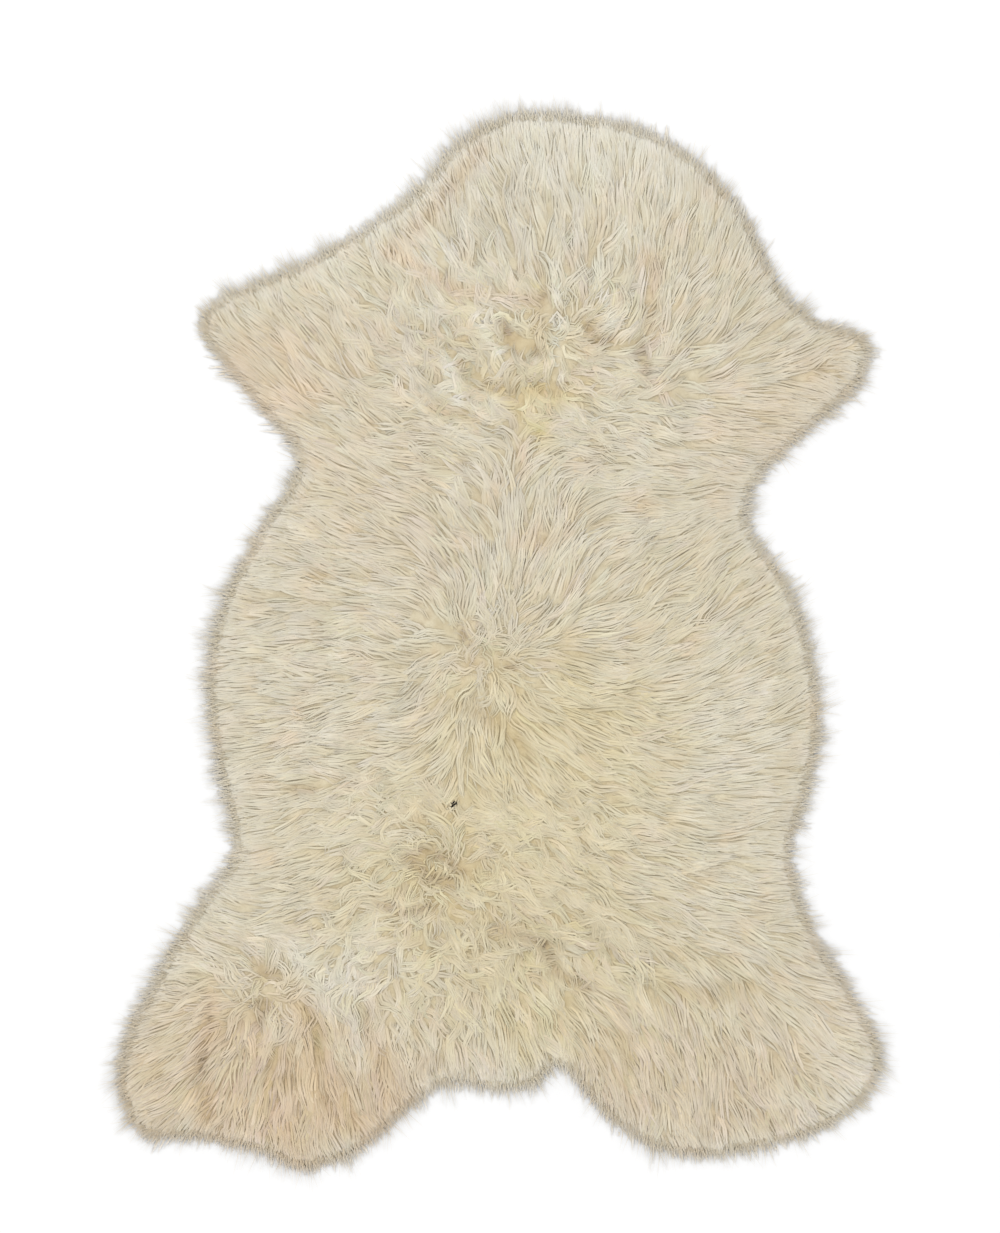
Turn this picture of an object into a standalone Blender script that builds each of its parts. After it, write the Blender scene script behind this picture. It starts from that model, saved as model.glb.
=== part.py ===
"""A sheepskin rug: one tanned pelt lying flat on the ground, its fleece side up.

Metres, +Z up. X runs across the pelt and +Y points to the neck. The origin is on the ground at
the middle of the footprint. The pelt is one solid: a thin flat hide underneath, the lumpy fleece
that grows on it, and the wool locks that stand out around the rim.
"""

import math
from collections import namedtuple

import bmesh
import bpy
import numpy as np
from mathutils import Vector, geometry

MM = 0.001

# Hide, the tanned skin under the wool
HIDE_THICKNESS = 2 * MM
HIDE_EDGE_INSET = 36 * MM
HIDE_EDGE_SLOPE = 1.5 * MM
HIDE_EDGE_POINTS = 150

# Fleece, the mass of wool on the hide
RIM_INSET = 16 * MM
RIM_HEIGHT = 18 * MM
RIM_SEGMENTS = 280
RIM_SLOPE = 8 * MM
FLEECE_HEIGHT = 35 * MM
SHOULDER_WIDTH = 30 * MM
SURFACE_SPACING = 16.5 * MM

# Tufts, the soft lumps on the fleece's upper side
TUFT_LENGTH = 58 * MM
TUFT_WIDTH = 17 * MM
TUFT_HEIGHT = 10 * MM
TUFT_SPACING = 36 * MM
TUFT_PEAK = 0.62
TUFT_SEED = 11

# Locks around the rim, a lower row on the ground and an upper row over its gaps
LOCK_LENGTH_LEAST = 14 * MM
LOCK_LENGTH_MOST = 25 * MM
LOCK_LEAN = math.radians(10)
LOCK_SEED = 5
LOCK_GAP = 6.5 * MM

WOOL_COLOUR = (0.72, 0.64, 0.47, 1.0)
WOOL_ROUGHNESS = 0.95

# The reach of the wool, clockwise from the neck, as (across, along) in millimetres
OUTLINE = {
    "neck": [(-49, 494), (4, 526), (59, 528), (139, 514), (199, 480)],
    "right shoulder": [(247, 425), (284, 352)],
    "right foreleg": [(321, 320), (368, 304), (362, 256), (314, 210)],
    "right armpit": [(264, 164), (250, 118)],
    "right flank": [(289, 58), (314, -15), (321, -95), (305, -168)],
    "right groin": [(293, -216), (314, -285)],
    "right hind leg": [
        (357, -355),
        (383, -410),
        (367, -458),
        (319, -493),
        (239, -513),
        (177, -516),
        (114, -488),
    ],
    "tail": [(80, -450), (58, -426), (38, -446), (0, -453), (-49, -445)],
    "left hind leg": [
        (-91, -471),
        (-138, -511),
        (-196, -531),
        (-239, -515),
        (-301, -501),
        (-361, -496),
        (-384, -447),
        (-378, -400),
    ],
    "left groin": [(-341, -323), (-298, -255), (-269, -210)],
    "left flank": [(-285, -130), (-295, -40), (-280, 40), (-239, 118)],
    "left armpit": [(-205, 178), (-239, 225)],
    "left foreleg": [(-284, 278), (-304, 312), (-283, 343)],
    "left shoulder": [(-211, 374), (-141, 411), (-86, 452)],
}

Crown = namedtuple("Crown", "name across along depth radius")

# Where the wool parts and lies away on all sides, in millimetres
CROWNS = [
    Crown("neck", 54, 315, 12, 34),
    Crown("back", -19, -20, 13, 40),
    Crown("rump", -52, -222, 9, 46),
    Crown("left hind leg", -236, -348, 11, 34),
    Crown("right foreleg", 320, 268, 6, 20),
]

Combing = namedtuple("Combing", "name across along reach heading")

# Which way the wool lies: centre and reach in millimetres, heading in degrees from +X
COMBINGS = [
    Combing("neck, middle", 79, 460, 80, 92),
    Combing("neck, left", -40, 400, 70, 118),
    Combing("neck, right", 200, 410, 70, 62),
    Combing("right shoulder", 250, 330, 50, 35),
    Combing("right foreleg", 310, 250, 60, -10),
    Combing("throat, right", 150, 205, 70, -28),
    Combing("throat, left", -90, 225, 70, 190),
    Combing("left foreleg", -200, 300, 80, 158),
    Combing("left foreleg, under", -230, 225, 50, 192),
    Combing("left shoulder blade", -145, 105, 80, 156),
    Combing("withers", 20, 90, 60, 92),
    Combing("right shoulder blade", 189, 40, 80, 47),
    Combing("right ribs", 260, -30, 60, 24),
    Combing("left ribs", -230, 15, 80, 186),
    Combing("left belly", -180, -110, 90, 190),
    Combing("right belly", 210, -170, 90, -3),
    Combing("loin, right", 88, -75, 60, -34),
    Combing("loin", 0, -130, 50, -86),
    Combing("rump, right", 60, -215, 60, -36),
    Combing("rump, left", -190, -250, 60, 212),
    Combing("haunch, right", 90, -320, 70, -42),
    Combing("left hind leg, outside", -285, -300, 50, 152),
    Combing("left hind leg, toe", -325, -410, 60, 214),
    Combing("left hind leg, under", -235, -440, 60, -96),
    Combing("left hind leg, inside", -130, -455, 60, -68),
    Combing("tail", -20, -400, 60, -90),
    Combing("right hind leg, inside", 140, -440, 60, -78),
    Combing("right hind leg", 230, -430, 60, -86),
    Combing("right hind leg, toe", 340, -400, 60, -28),
]


def clear_scene():
    for thing in list(bpy.data.objects):
        bpy.data.objects.remove(thing)


def smooth_loop(corners, steps=12):
    """A closed Catmull-Rom curve through the corners, as an array of points."""
    before, after, beyond = (np.roll(corners, n, axis=0) for n in (1, -1, -2))
    share = (np.arange(steps) / steps)[:, None, None]
    curve = 0.5 * (
        2 * corners
        + (after - before) * share
        + (2 * before - 5 * corners + 4 * after - beyond) * share**2
        + (3 * corners - before - 3 * after + beyond) * share**3
    )
    return curve.transpose(1, 0, 2).reshape(-1, 2)


def evenly(loop, count):
    """The closed loop with this many points, the same distance apart along it."""
    closed = np.vstack([loop, loop[:1]])
    steps = np.linalg.norm(np.diff(closed, axis=0), axis=1)
    walked = np.concatenate([[0], np.cumsum(steps)])
    places = np.arange(count) * walked[-1] / count
    return np.stack([np.interp(places, walked, closed[:, axis]) for axis in (0, 1)], axis=1)


def outward(loop):
    """The outward unit normal at each point of a clockwise loop."""
    along = np.roll(loop, -1, axis=0) - np.roll(loop, 1, axis=0)
    normals = np.stack([-along[:, 1], along[:, 0]], axis=1)
    return normals / np.linalg.norm(normals, axis=1)[:, None]


def distances(points, loop):
    """How far each point is from the nearest side of the loop."""
    starts = loop
    sides = np.roll(loop, -1, axis=0) - starts
    offsets = points[:, None, :] - starts[None, :, :]
    share = (offsets * sides).sum(axis=2) / (sides**2).sum(axis=1)
    nearest = offsets - share.clip(0, 1)[:, :, None] * sides
    return np.sqrt((nearest**2).sum(axis=2)).min(axis=1)


def inset_loop(loop, inset, count):
    """The loop moved inwards, without the points that a sharp corner would fold over."""
    moved = loop - outward(loop) * inset
    kept = moved[distances(moved, loop) > 0.98 * inset]
    return evenly(kept, count)


def inside(points, loop):
    """Whether each point lies within the loop, by counting the sides to its right."""
    x, y = points[:, 0, None], points[:, 1, None]
    x0, y0 = loop.T
    x1, y1 = np.roll(loop, -1, axis=0).T
    spans = (y0 <= y) != (y1 <= y)
    rise = np.where(y1 == y0, 1.0, y1 - y0)
    crossing = x0 + (y - y0) * (x1 - x0) / rise
    return (spans & (x < crossing)).sum(axis=1) % 2 == 1


def lie_of_wool(points):
    """The unit direction in which the wool lies at each point: combed, and away from the crowns."""
    flow = np.zeros_like(points)
    for area in COMBINGS:
        centre = np.array([area.across, area.along]) * MM
        away = ((points - centre) ** 2).sum(axis=1)
        heading = math.radians(area.heading)
        weight = np.exp(-away / (2 * (area.reach * MM) ** 2)) + 0.002
        flow += weight[:, None] * np.array([math.cos(heading), math.sin(heading)])
    for crown in CROWNS:
        apart = points - np.array([crown.across, crown.along]) * MM
        away = np.linalg.norm(apart, axis=1)[:, None] + MM
        flow += 2.5 * apart / away * np.exp(-((away / (1.5 * crown.radius * MM)) ** 2))
    return flow / (np.linalg.norm(flow, axis=1)[:, None] + 1e-9)


def tuft_places(rim):
    """The middles of the tufts: a staggered grid, each a little off its place."""
    draw = np.random.default_rng(TUFT_SEED)
    low, high = rim.min(axis=0), rim.max(axis=0)
    rows = np.arange(low[1], high[1], TUFT_SPACING)
    grid = [
        (x + (number % 2) * TUFT_SPACING / 2, y)
        for number, y in enumerate(rows)
        for x in np.arange(low[0], high[0], TUFT_SPACING)
    ]
    places = np.array(grid) + draw.uniform(-0.3, 0.3, (len(grid), 2)) * TUFT_SPACING
    return places[inside(places, rim)], draw


def tuft_relief(points, rim):
    """The height of the tufts: each swells along the lie of the wool and ends in a steeper tip."""
    places, draw = tuft_places(rim)
    ahead = lie_of_wool(places)
    aside = np.stack([-ahead[:, 1], ahead[:, 0]], axis=1)
    height = draw.uniform(0.55, 1.0, len(places)) * TUFT_HEIGHT
    apart = points[:, None, :] - places[None, :, :]
    share = ((apart * ahead).sum(axis=2) / TUFT_LENGTH + 0.5).clip(0, 1)
    swell = np.where(
        share < TUFT_PEAK,
        np.sin(share / TUFT_PEAK * math.pi / 2),
        np.cos((share - TUFT_PEAK) / (1 - TUFT_PEAK) * math.pi / 2),
    )
    across = (apart * aside).sum(axis=2) / TUFT_WIDTH
    return (height * swell * np.exp(-(across**2))).max(axis=1)


def fleece_heights(points, rim):
    """The height of the fleece's upper side: a rounded shoulder, tufts, and dips at the crowns."""
    from_rim = distances(points, rim)
    rise = 1 - np.exp(-from_rim / SHOULDER_WIDTH)
    heights = RIM_HEIGHT + (FLEECE_HEIGHT - RIM_HEIGHT) * rise
    heights += tuft_relief(points, rim) * (1 - np.exp(-from_rim / (0.5 * SHOULDER_WIDTH)))
    for crown in CROWNS:
        centre = np.array([crown.across, crown.along]) * MM
        away = np.linalg.norm(points - centre, axis=1) / (crown.radius * MM)
        heights -= crown.depth * MM * rise * np.exp(-(away**2))
    return heights


def surface_points(rim):
    """Evenly spread points within the rim, in staggered rows."""
    low, high = rim.min(axis=0), rim.max(axis=0)
    row_step = SURFACE_SPACING * math.sqrt(0.75)
    rows = np.arange(low[1], high[1], row_step)
    grid = np.array(
        [
            (x + (number % 2) * SURFACE_SPACING / 2, y)
            for number, y in enumerate(rows)
            for x in np.arange(low[0], high[0], SURFACE_SPACING)
        ]
    )
    grid = grid[inside(grid, rim)]
    return grid[distances(grid, rim) > 0.7 * SURFACE_SPACING]


def filled(loops, loose):
    """Triangles, as numbers of points, that fill the outer loop and keep every loop's sides."""
    sides, first = [], 0
    for loop in loops:
        last = first + len(loop)
        sides += [(n, n + 1) for n in range(first, last - 1)] + [(last - 1, first)]
        first = last
    points = [Vector(p) for p in np.vstack([*loops, loose])]
    within_constraints = 1
    found = geometry.delaunay_2d_cdt(points, sides, [], within_constraints, 1e-7)
    origins = [places[0] for places in found[3]]
    return [[origins[n] for n in face] for face in found[2]]


def add_points(body, points, heights):
    return [body.verts.new((x, y, z)) for (x, y), z in zip(points, heights)]


def add_ring_wall(body, upper, lower):
    """A wall of quads between two rings of the same number of points."""
    after = [*range(1, len(upper)), 0]
    return [
        body.faces.new((upper[n], lower[n], lower[m], upper[m]))
        for n, m in zip(range(len(upper)), after)
    ]


def add_upper_side(body, rim):
    """The lumpy top of the fleece. Returns its rim ring."""
    edge = rim - outward(rim) * RIM_SLOPE
    loose = surface_points(edge)
    points = np.vstack([edge, loose])
    heights = fleece_heights(points, edge)
    made = add_points(body, points, heights)
    for triangle in filled([edge], loose):
        body.faces.new([made[n] for n in triangle])
    return made[: len(rim)]


def add_underside(body, rim, outline):
    """The wool's underside and, standing proud of it, the flat hide. Returns its rim ring."""
    edge = inset_loop(outline, HIDE_EDGE_INSET, HIDE_EDGE_POINTS)
    foot = edge - outward(edge) * HIDE_EDGE_SLOPE
    heights = [0.0] * len(rim) + [HIDE_THICKNESS] * len(edge) + [0.0] * len(foot)
    made = add_points(body, np.vstack([rim, edge, foot]), heights)
    for triangle in filled([rim, edge, foot], np.empty((0, 2))):
        body.faces.new([made[n] for n in triangle])
    return made[: len(rim)]


def outward_of_sides(rim):
    along = np.roll(rim, -1, axis=0) - rim
    normals = np.stack([-along[:, 1], along[:, 0]], axis=1)
    return normals / np.linalg.norm(normals, axis=1)[:, None]


Section = namedtuple("Section", "reach width lift")

# Sections of a lock from its root: reach and width as shares, lift as (lower side, upper side)
# of the lock's root heights. The lower row keeps its underside on the ground.
LOWER_LOCK = [Section(0.5, 0.9, (0.0, 0.76)), Section(1.0, 0.26, (0.0, 0.28))]
UPPER_LOCK = [Section(0.5, 0.9, (1.0, 0.88)), Section(1.0, 0.26, (0.92, 0.52))]


def pull_lock(body, root, sections, reach):
    """Draws one lock out of a quad of the rim wall, section by section, tapering to its tip."""
    start = root.calc_center_median()
    side = Vector((-reach.y, reach.x, 0)).normalized()
    roots = [(v.co.z, (v.co - start).dot(side)) for v in root.verts]
    face = root
    for section in sections:
        made = bmesh.ops.extrude_discrete_faces(body, faces=[face])
        face = made["faces"][0]
        for vertex, (height, aside) in zip(face.verts, roots):
            lift = section.lift[1] if height > start.z else section.lift[0]
            place = start + reach * section.reach + side * (aside * section.width)
            vertex.co = (place.x, place.y, height * lift)


def lock_reaches(rim):
    """From each side of the rim, where its lock goes: outwards, leaning a little either way."""
    draw = np.random.default_rng(LOCK_SEED)
    lean = draw.uniform(-LOCK_LEAN, LOCK_LEAN, len(rim))[:, None]
    outwards = outward_of_sides(rim)
    aside = np.stack([-outwards[:, 1], outwards[:, 0]], axis=1)
    lengths = draw.uniform(LOCK_LENGTH_LEAST, LOCK_LENGTH_MOST, len(rim))[:, None]
    return lengths * (outwards * np.cos(lean) + aside * np.sin(lean))


def parted(roots, reaches):
    """The reaches, shortened where a tip would come too near another lock, as in a notch."""
    reaches = reaches.copy()
    for _ in range(24):
        apart = (roots + reaches)[:, None, :] - roots[None, :, :]
        share = (apart * reaches).sum(axis=2) / (reaches**2).sum(axis=1)
        gaps = np.linalg.norm(apart - share.clip(0, 1)[:, :, None] * reaches, axis=2)
        np.fill_diagonal(gaps, 1)
        reaches[gaps.min(axis=1) < LOCK_GAP] *= 0.9
    return reaches


def add_locks(body, lower_wall, upper_wall, rim):
    """A lock on every side of the rim, in turn from the lower wall and from the upper one."""
    middles = (rim + np.roll(rim, -1, axis=0)) / 2
    reaches = parted(middles, lock_reaches(rim))
    for n, reach in enumerate(reaches):
        wall, sections = (upper_wall, UPPER_LOCK) if n % 2 else (lower_wall, LOWER_LOCK)
        pull_lock(body, wall[n], sections, Vector((*reach, 0)))


def centre_on_origin(mesh):
    """Moves the mesh so that the middle of its footprint is at the origin."""
    places = np.array([vertex.co for vertex in mesh.vertices])
    middle = (places.max(axis=0) + places.min(axis=0)) / 2
    for vertex in mesh.vertices:
        vertex.co.x -= middle[0]
        vertex.co.y -= middle[1]


def wool_material():
    wool = bpy.data.materials.new("wool")
    wool.use_nodes = True
    shader = wool.node_tree.nodes["Principled BSDF"]
    shader.inputs["Base Color"].default_value = WOOL_COLOUR
    shader.inputs["Roughness"].default_value = WOOL_ROUGHNESS
    shader.inputs["Metallic"].default_value = 0.0
    wool.diffuse_color = WOOL_COLOUR
    return wool


def build_pelt():
    corners = np.array([point for stretch in OUTLINE.values() for point in stretch]) * MM
    outline = evenly(smooth_loop(corners), 900)
    rim = inset_loop(outline, RIM_INSET, RIM_SEGMENTS)
    body = bmesh.new()
    top_ring = add_upper_side(body, rim)
    waist = rim - outward(rim) * RIM_SLOPE / 2
    middle_ring = add_points(body, waist, [RIM_HEIGHT / 2] * len(rim))
    ground_ring = add_underside(body, rim, outline)
    upper_wall = add_ring_wall(body, top_ring, middle_ring)
    lower_wall = add_ring_wall(body, middle_ring, ground_ring)
    add_locks(body, lower_wall, upper_wall, rim)
    bmesh.ops.recalc_face_normals(body, faces=body.faces)
    mesh = bpy.data.meshes.new("sheepskin")
    body.to_mesh(mesh)
    body.free()
    centre_on_origin(mesh)
    mesh.materials.append(wool_material())
    mesh.shade_smooth()
    pelt = bpy.data.objects.new("sheepskin", mesh)
    bpy.context.scene.collection.objects.link(pelt)
    return pelt


clear_scene()
build_pelt()
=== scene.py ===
"""How the sheepskin looks: a pale hide with its long cream wool, seen from directly above.

Metres, in the part's own frame: +Y to the neck, +Z up, the ground at zero. The wool is built
strand by strand. A table of crowns and combings says which way it lies, strands gather into
locks that thin out to their tips, and the locks at the rim droop to the ground.
"""

import math
from collections import namedtuple

import bpy
import numpy as np
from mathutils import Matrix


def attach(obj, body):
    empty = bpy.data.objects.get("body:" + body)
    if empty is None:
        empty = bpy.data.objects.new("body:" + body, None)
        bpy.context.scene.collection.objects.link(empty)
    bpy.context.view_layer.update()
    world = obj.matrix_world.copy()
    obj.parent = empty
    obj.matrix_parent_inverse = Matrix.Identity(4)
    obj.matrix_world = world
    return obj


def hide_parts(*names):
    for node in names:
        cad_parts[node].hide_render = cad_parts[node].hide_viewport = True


MM = 0.001
SEED = 23

# Camera: straight down, one millimetre of floor to one pixel of the photograph
PHOTO_HEIGHT = 1.233
PHOTO_MIDDLE = (3.5 * MM, 25.5 * MM)
LENS, SENSOR = 80.0, 36.0

# Hide
HIDE_INSET = 36 * MM
HIDE_THICKNESS = 2 * MM
HIDE_BEVEL = 0.6 * MM

# Undercoat, the dense wool that the strands stand in. It thins over the edge width, and its
# underside rises off the ground over the under width
UNDERCOAT_INSET = 5 * MM
UNDERCOAT_BOTTOM = 2.3 * MM
UNDERCOAT_RIM_BOTTOM = 0.4 * MM
UNDERCOAT_EDGE = 1.8 * MM
UNDERCOAT_HEIGHT = 33 * MM
UNDERCOAT_SHOULDER = 36 * MM
UNDERCOAT_VOXEL = 7.2 * MM
UNDERCOAT_SLAB = 20 * MM
UNDERCOAT_THINNEST = 1.5 * MM
UNDERCOAT_EDGE_WIDTH = 6 * MM
UNDERCOAT_UNDER_WIDTH = 24 * MM
TUFT_HEIGHT = 4 * MM

# Plan of the fields that the strands read
GRID_STEP = 4 * MM
GRID_MARGIN = 60 * MM

# The reach of the wool, clockwise from the neck, as (across, along) in millimetres
OUTLINE = {
    "neck": [(-45, 496), (8, 528), (63, 530), (143, 516), (203, 482)],
    "right shoulder": [(251, 427), (288, 354)],
    "right foreleg": [(325, 322), (372, 306), (366, 258), (318, 212)],
    "right armpit": [(268, 166), (254, 120)],
    "right flank": [(293, 60), (318, -13), (325, -93), (309, -166)],
    "right groin": [(297, -214), (318, -283)],
    "right hind leg": [
        (361, -353),
        (387, -408),
        (371, -456),
        (323, -491),
        (243, -511),
        (181, -514),
        (118, -486),
    ],
    "tail": [(84, -448), (62, -424), (42, -444), (4, -451), (-45, -443)],
    "left hind leg": [
        (-87, -469),
        (-134, -509),
        (-192, -529),
        (-235, -513),
        (-297, -499),
        (-357, -494),
        (-380, -445),
        (-374, -398),
    ],
    "left groin": [(-337, -321), (-294, -253), (-265, -208)],
    "left flank": [(-281, -128), (-291, -38), (-276, 42), (-235, 120)],
    "left armpit": [(-201, 180), (-235, 227)],
    "left foreleg": [(-280, 280), (-300, 314), (-279, 345)],
    "left shoulder": [(-207, 376), (-137, 413), (-82, 454)],
}

Crown = namedtuple("Crown", "name across along depth radius pull")

# Where the wool parts and lies away on all sides, in millimetres
CROWNS = [
    Crown("neck", 58, 317, 5, 34, 2.0),
    Crown("back", -15, -18, 9, 40, 3.0),
    Crown("rump", -58, -222, 6, 46, 1.2),
    Crown("left hind leg", -232, -346, 4, 30, 2.2),
    Crown("right foreleg", 324, 270, 3, 13, 0.9),
]

Combing = namedtuple("Combing", "name across along reach heading")

# Which way the wool lies: centre and reach in millimetres, heading in degrees from +X
COMBINGS = [
    Combing("neck, middle", 83, 462, 80, 92),
    Combing("neck, left", -36, 402, 70, 116),
    Combing("neck, right", 204, 412, 70, 78),
    Combing("neck, right of crown", 146, 335, 45, 78),
    Combing("right shoulder", 254, 332, 50, 50),
    Combing("right foreleg", 314, 252, 60, -8),
    Combing("throat, right", 154, 207, 70, -20),
    Combing("throat, left", -86, 227, 50, 190),
    Combing("left foreleg", -196, 302, 80, 130),
    Combing("left foreleg, under", -226, 237, 55, 138),
    Combing("left shoulder blade", -141, 107, 80, 156),
    Combing("throat, upper left", -110, 300, 60, 124),
    Combing("left armpit", -160, 168, 45, 158),
    Combing("withers", 16, 92, 50, 92),
    Combing("right shoulder blade", 193, 42, 80, 44),
    Combing("right ribs", 264, -28, 60, 22),
    Combing("left ribs", -226, 17, 80, 184),
    Combing("left belly", -176, -108, 90, 188),
    Combing("right belly", 214, -168, 90, -2),
    Combing("loin, right", 92, -73, 60, -34),
    Combing("loin", -10, -120, 40, -88),
    Combing("rump, right", 64, -213, 60, -30),
    Combing("rump, left", -186, -248, 60, 208),
    Combing("haunch, right", 94, -318, 70, -42),
    Combing("left hind leg, outside", -281, -298, 50, 150),
    Combing("left hind leg, toe", -321, -408, 60, 208),
    Combing("left hind leg, under", -231, -438, 60, -98),
    Combing("left hind leg, inside", -126, -453, 60, -66),
    Combing("tail", -16, -398, 60, -90),
    Combing("right hind leg, inside", 144, -438, 60, -76),
    Combing("right hind leg", 234, -428, 60, -80),
    Combing("right hind leg, toe", 344, -398, 60, -26),
]

Area = namedtuple("Area", "name across along half_width half_length amount")

# Where the wool curls instead of lying straight, in millimetres, with how strongly
CURLY = [
    Area("throat", 20, 275, 120, 75, 1.0),
    Area("throat, left", -60, 300, 60, 50, 0.7),
    Area("rump", -50, -240, 80, 70, 1.0),
    Area("rump, left", -95, -310, 90, 55, 0.9),
    Area("rump, right", 40, -285, 90, 50, 0.8),
    Area("left hind leg", -230, -350, 45, 40, 0.7),
    Area("loin", 20, -180, 90, 42, 0.85),
    Area("loin, left", -85, -160, 75, 36, 0.8),
    Area("saddle", -10, 150, 45, 50, 0.45),
]

# Where the wool lies smooth, in millimetres, with how strongly
SMOOTH = [
    Area("right belly", 255, -130, 85, 130, 1.0),
    Area("right waist", 215, 130, 60, 45, 0.9),
    Area("right ribs", 285, -10, 40, 60, 0.6),
    Area("neck, right rim", 220, 400, 50, 90, 0.7),
    Area("neck, top", 80, 490, 150, 40, 0.7),
    Area("right foreleg", 300, 255, 80, 60, 1.0),
    Area("left flank", -250, -60, 50, 150, 0.8),
    Area("left groin", -215, -190, 70, 40, 0.8),
    Area("left foreleg", -245, 265, 65, 55, 1.0),
    Area("left hind leg, outside", -330, -340, 60, 90, 0.7),
    Area("right hind leg, toe", 340, -340, 60, 60, 0.6),
]

# Where the loose hairs at the rim are longest, in millimetres, with how strongly
FLUFFY = [
    Area("left flank", -280, -60, 50, 160, 1.0),
    Area("neck, left", -60, 470, 70, 50, 1.0),
    Area("neck, top", 10, 525, 60, 40, 0.6),
    Area("left hind leg, outside", -350, -360, 60, 100, 0.6),
    Area("right flank", 320, 0, 40, 100, 0.5),
]

# Where neighbouring locks differ most in colour, in millimetres, with how strongly
STREAKY = [
    Area("left hind leg", -215, -425, 110, 90, 1.0),
    Area("right hind leg", 225, -440, 130, 75, 0.9),
    Area("haunch", 110, -380, 80, 80, 1.0),
    Area("tail", -40, -410, 90, 60, 0.8),
    Area("throat", 40, 290, 110, 70, 0.6),
]

Tint = namedtuple("Tint", "name across along half_width half_length colour amount")

WOOL_CREAM = (0.695, 0.655, 0.54)
IVORY = (0.765, 0.75, 0.67)
PINK_TAN = (0.76, 0.64, 0.50)
STRAW = (0.71, 0.64, 0.455)
WARM_CREAM = (0.68, 0.595, 0.465)
OLIVE_TAN = (0.62, 0.55, 0.40)
GREY_CREAM = (0.63, 0.59, 0.49)
LEG_TAN = (0.675, 0.545, 0.395)
YELLOW_STAIN = (0.62, 0.55, 0.26)
BROWN_ROOTS = (0.50, 0.40, 0.27)
TAN_ROOTS = (0.62, 0.51, 0.32)
PALE_LOCK = (0.79, 0.78, 0.70)
RIM_WHITE = (0.95, 0.93, 0.90)
RIM_PALENESS = 0.6
RIM_PALE_DEPTH = 9 * MM

# Soft patches of other colour in the wool, in millimetres, with how strongly. The two darker patches at the
# left flank and right belly rims are painted shade where the wool curves down.
TINTS = [
    Tint("neck rim", 60, 500, 190, 60, IVORY, 0.8),
    Tint("neck, left rim", -60, 430, 110, 60, IVORY, 0.5),
    # Greyer and darker at the left flank rim: painted shade where the wool curves down to the floor.
    Tint("left flank rim", -270, -60, 40, 170, GREY_CREAM, 0.25),
    Tint("haunches", 60, -350, 150, 60, STRAW, 0.7),
    Tint("tail", -30, -440, 75, 40, IVORY, 0.15),
    Tint("rump, left", -120, -320, 70, 40, IVORY, 0.5),
    Tint("left foreleg edge", -240, 245, 55, 50, PINK_TAN, 1.0),
    Tint("left foreleg, inside", -150, 290, 60, 40, PINK_TAN, 0.4),
    Tint("neck, left of middle", 0, 440, 60, 60, GREY_CREAM, 0.6),
    Tint("throat, left", -117, 285, 45, 40, GREY_CREAM, 0.4),
    Tint("throat, middle", 45, 240, 40, 28, STRAW, 0.9),
    Tint("loin, middle", 0, -155, 50, 25, OLIVE_TAN, 0.45),
    Tint("rump, middle", 5, -318, 60, 30, OLIVE_TAN, 0.35),
    Tint("saddle", 38, 102, 22, 18, LEG_TAN, 0.5),
    Tint("left foreleg", -250, 300, 60, 30, WARM_CREAM, 0.5),
    Tint("right foreleg under", 270, 210, 55, 45, PINK_TAN, 0.45),
    Tint("right foreleg", 330, 280, 40, 40, PINK_TAN, 0.4),
    Tint("loin", 60, -95, 115, 85, STRAW, 1.0),
    Tint("rump", -10, -240, 160, 110, STRAW, 0.9),
    Tint("rump, right", 60, -290, 90, 50, OLIVE_TAN, 0.4),
    Tint("throat", 30, 290, 70, 40, STRAW, 0.5),
    Tint("left hind leg", -225, -450, 150, 85, LEG_TAN, 0.85),
    Tint("left hind leg, inside", -150, -468, 50, 45, LEG_TAN, 1.0),
    Tint("groin, right", 85, -400, 50, 50, STRAW, 1.0),
    Tint("left hind leg, outside", -310, -380, 60, 60, WARM_CREAM, 0.5),
    Tint("right hind leg, inside", 130, -430, 55, 70, WARM_CREAM, 0.9),
    Tint("right hind leg", 235, -450, 95, 75, WARM_CREAM, 0.9),
    Tint("left shoulder", -120, 140, 80, 70, WARM_CREAM, 0.45),
    Tint("right shoulder", 200, 60, 80, 60, STRAW, 0.35),
    Tint("right hind leg, toe", 340, -380, 50, 50, PINK_TAN, 0.35),
    # Olive-tan and darker at the right belly rim: painted shade where the wool curves down to the floor.
    Tint("right belly rim", 300, -80, 30, 120, OLIVE_TAN, 0.25),
    Tint("right flank", 235, -90, 50, 80, IVORY, 0.3),
    Tint("left foreleg, above", -215, 325, 60, 35, GREY_CREAM, 0.35),
    Tint("right shoulder, below", 215, 90, 60, 60, GREY_CREAM, 0.3),
    Tint("right foreleg, above", 280, 310, 60, 40, GREY_CREAM, 0.35),
    Tint("flank, left", -215, 40, 60, 60, GREY_CREAM, 0.3),
    Tint("right hind leg, toe rim", 350, -420, 40, 60, IVORY, 0.4),
    Tint("stain, neck crown", 57, 322, 5, 5, YELLOW_STAIN, 0.9),
    Tint("stain, neck crown, right", 88, 322, 5, 5, YELLOW_STAIN, 0.6),
    Tint("stain, throat", 39, 235, 7, 6, YELLOW_STAIN, 0.6),
]

Parting = namedtuple("Parting", "name line width depth colour amount")

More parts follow.
